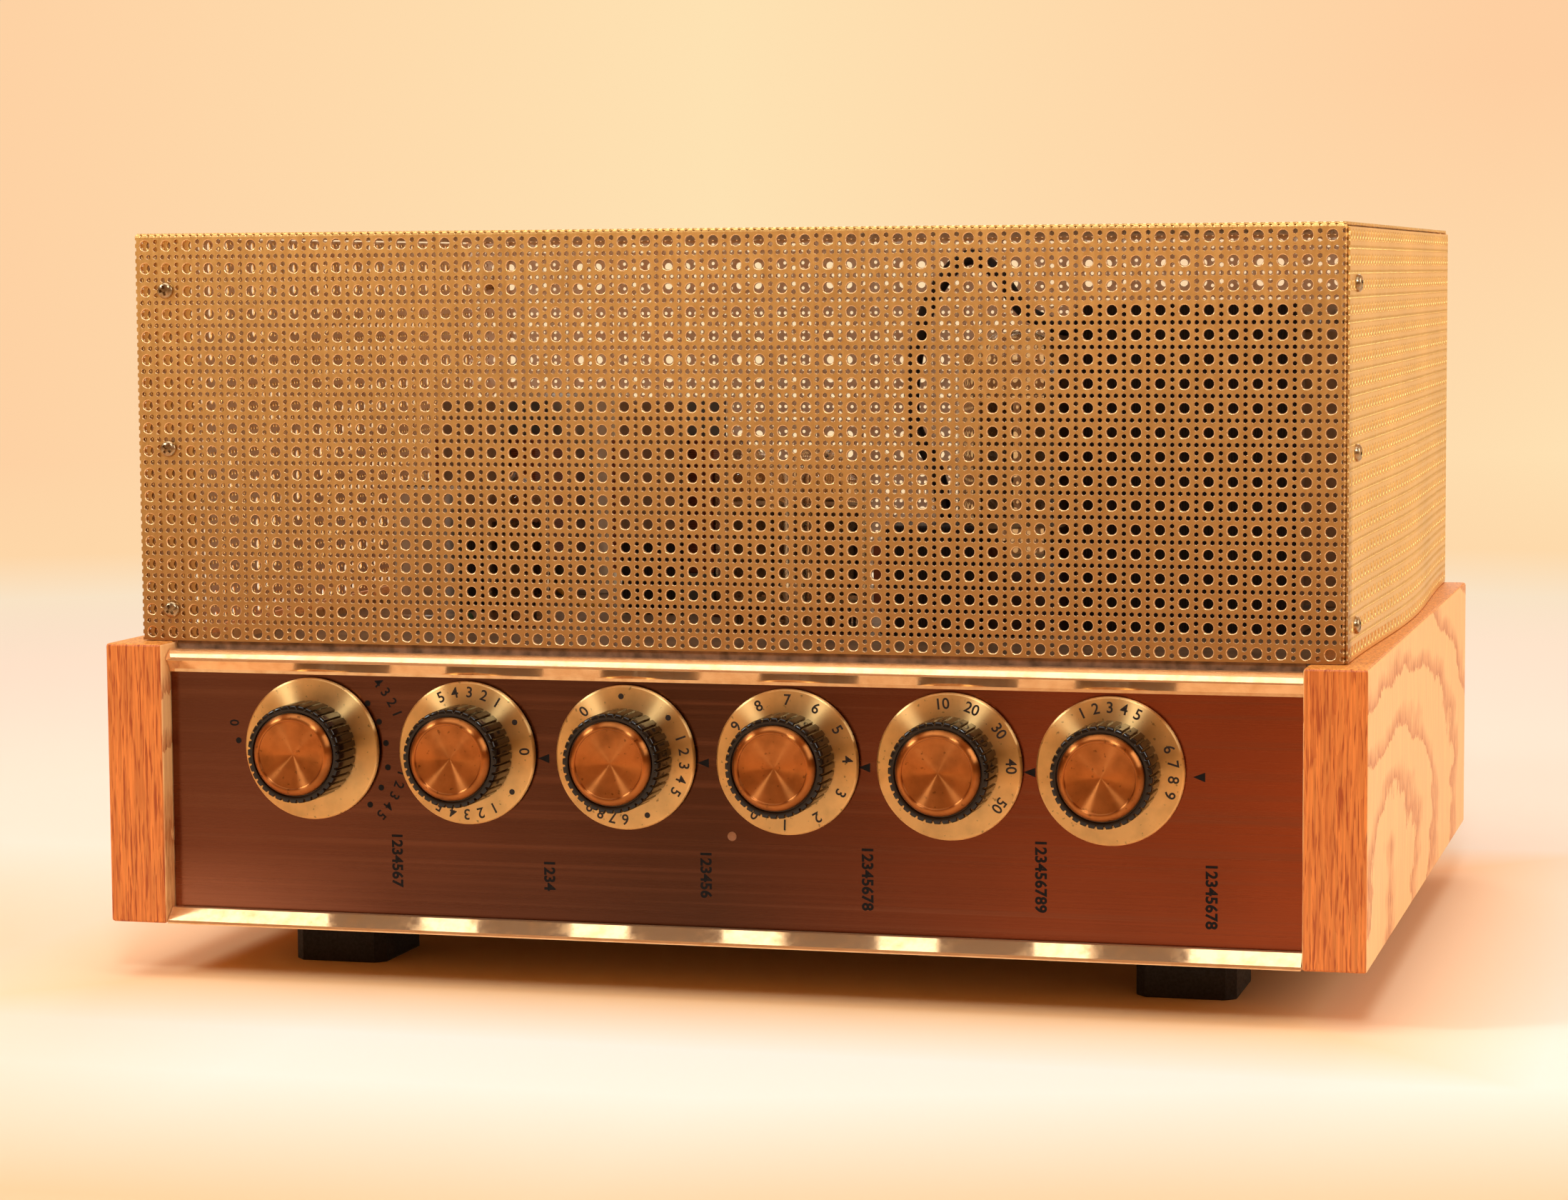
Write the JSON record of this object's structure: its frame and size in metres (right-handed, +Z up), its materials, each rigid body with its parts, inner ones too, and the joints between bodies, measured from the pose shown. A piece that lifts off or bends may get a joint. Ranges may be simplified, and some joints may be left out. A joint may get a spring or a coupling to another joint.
{
  "type": "tube amplifier",
  "caption": "Stereo tube amplifier: wooden cheeks, a metallic front panel with a row of turning dial controls, and a perforated sheet-metal cover over valves and transformers.",
  "frame": {"origin": "on the surface it stands on, under the middle of the whole part's box", "axes": "+X to the right seen from the front, +Y towards the back, +Z up; the controls face -Y"},
  "size_m": [0.3764, 0.3088, 0.2232],
  "materials": {
    "oak": "satin clear lacquer on oak",
    "panel": "fine brushed, copper-brown anodised",
    "trim": "polished",
    "black_steel": "semi-matt black enamel",
    "foot_rubber": "moulded, matt",
    "cover_sheet": "gold-bronze lacquered perforated sheet",
    "skirt": "spun, gold anodised",
    "grip": "glossy moulded resin",
    "inlay": "spun copper, lacquered",
    "steel": "turned and plated",
    "winding": "paper-wrapped copper winding",
    "lead_rubber": "extruded, semi-matt",
    "valve_glass": "clear blown glass over dark electrodes",
    "can_aluminium": "drawn, satin",
    "board_resin": "paper-resin laminate"
  },
  "bodies": {
    "case": {"left_cheek": "oak", "right_cheek": "oak", "front_panel": "panel", "top_trim": "trim", "bottom_trim": "trim", "chassis": "black_steel", "bottom_plate": "black_steel", "foot_front_left": "foot_rubber", "foot_front_right": "foot_rubber", "foot_rear_left": "foot_rubber", "foot_rear_right": "foot_rubber", "cover_front": "cover_sheet", "cover_left": "cover_sheet", "cover_right": "cover_sheet", "cover_back": "cover_sheet", "cover_top": "cover_sheet", "balance_control": "steel", "bass_control": "steel", "treble_control": "steel", "loudness_control": "steel", "equaliser_control": "steel", "mode_control": "steel", "mains_transformer_core": "black_steel", "mains_transformer_winding": "winding", "mains_lead": "lead_rubber", "output_transformer_left": "black_steel", "output_transformer_right": "black_steel", "rectifier_valve": "valve_glass", "power_valve_1": "valve_glass", "power_valve_2": "valve_glass", "power_valve_3": "valve_glass", "power_valve_4": "valve_glass", "signal_valve": "valve_glass", "shielded_valve": "can_aluminium", "can_capacitor": "can_aluminium", "connector_board": "board_resin"},
    "balance_knob": {"balance_skirt": "skirt", "balance_grip": "grip", "balance_inlay": "inlay", "balance_shaft": "steel"},
    "bass_knob": {"bass_skirt": "skirt", "bass_grip": "grip", "bass_inlay": "inlay", "bass_shaft": "steel"},
    "treble_knob": {"treble_skirt": "skirt", "treble_grip": "grip", "treble_inlay": "inlay", "treble_shaft": "steel"},
    "loudness_knob": {"loudness_skirt": "skirt", "loudness_grip": "grip", "loudness_inlay": "inlay", "loudness_shaft": "steel"},
    "equaliser_knob": {"equaliser_skirt": "skirt", "equaliser_grip": "grip", "equaliser_inlay": "inlay", "equaliser_shaft": "steel"},
    "mode_knob": {"mode_skirt": "skirt", "mode_grip": "grip", "mode_inlay": "inlay", "mode_shaft": "steel"}
  },
  "joints": [
    {"name": "balance_turn", "type": "hinge", "parent": "case", "child": "balance_knob", "pos_m": [-0.12419, -0.13615, 0.0706], "axis": [0, -1, 0], "range_deg": [-200, 17]},
    {"name": "bass_turn", "type": "hinge", "parent": "case", "child": "bass_knob", "pos_m": [-0.0754, -0.13615, 0.0706], "axis": [0, -1, 0], "range_deg": [-150, 150]},
    {"name": "treble_turn", "type": "hinge", "parent": "case", "child": "treble_knob", "pos_m": [-0.0266, -0.13615, 0.0706], "axis": [0, -1, 0], "range_deg": [-135, 100]},
    {"name": "loudness_turn", "type": "hinge", "parent": "case", "child": "loudness_knob", "pos_m": [0.02201, -0.13615, 0.0706], "axis": [0, -1, 0], "range_deg": [-180, 120]},
    {"name": "equaliser_turn", "type": "hinge", "parent": "case", "child": "equaliser_knob", "pos_m": [0.0696, -0.13615, 0.0706], "axis": [0, -1, 0], "range_deg": [-90, 30]},
    {"name": "mode_turn", "type": "hinge", "parent": "case", "child": "mode_knob", "pos_m": [0.1158, -0.13615, 0.0706], "axis": [0, -1, 0], "range_deg": [-60, 0]}
  ]
}
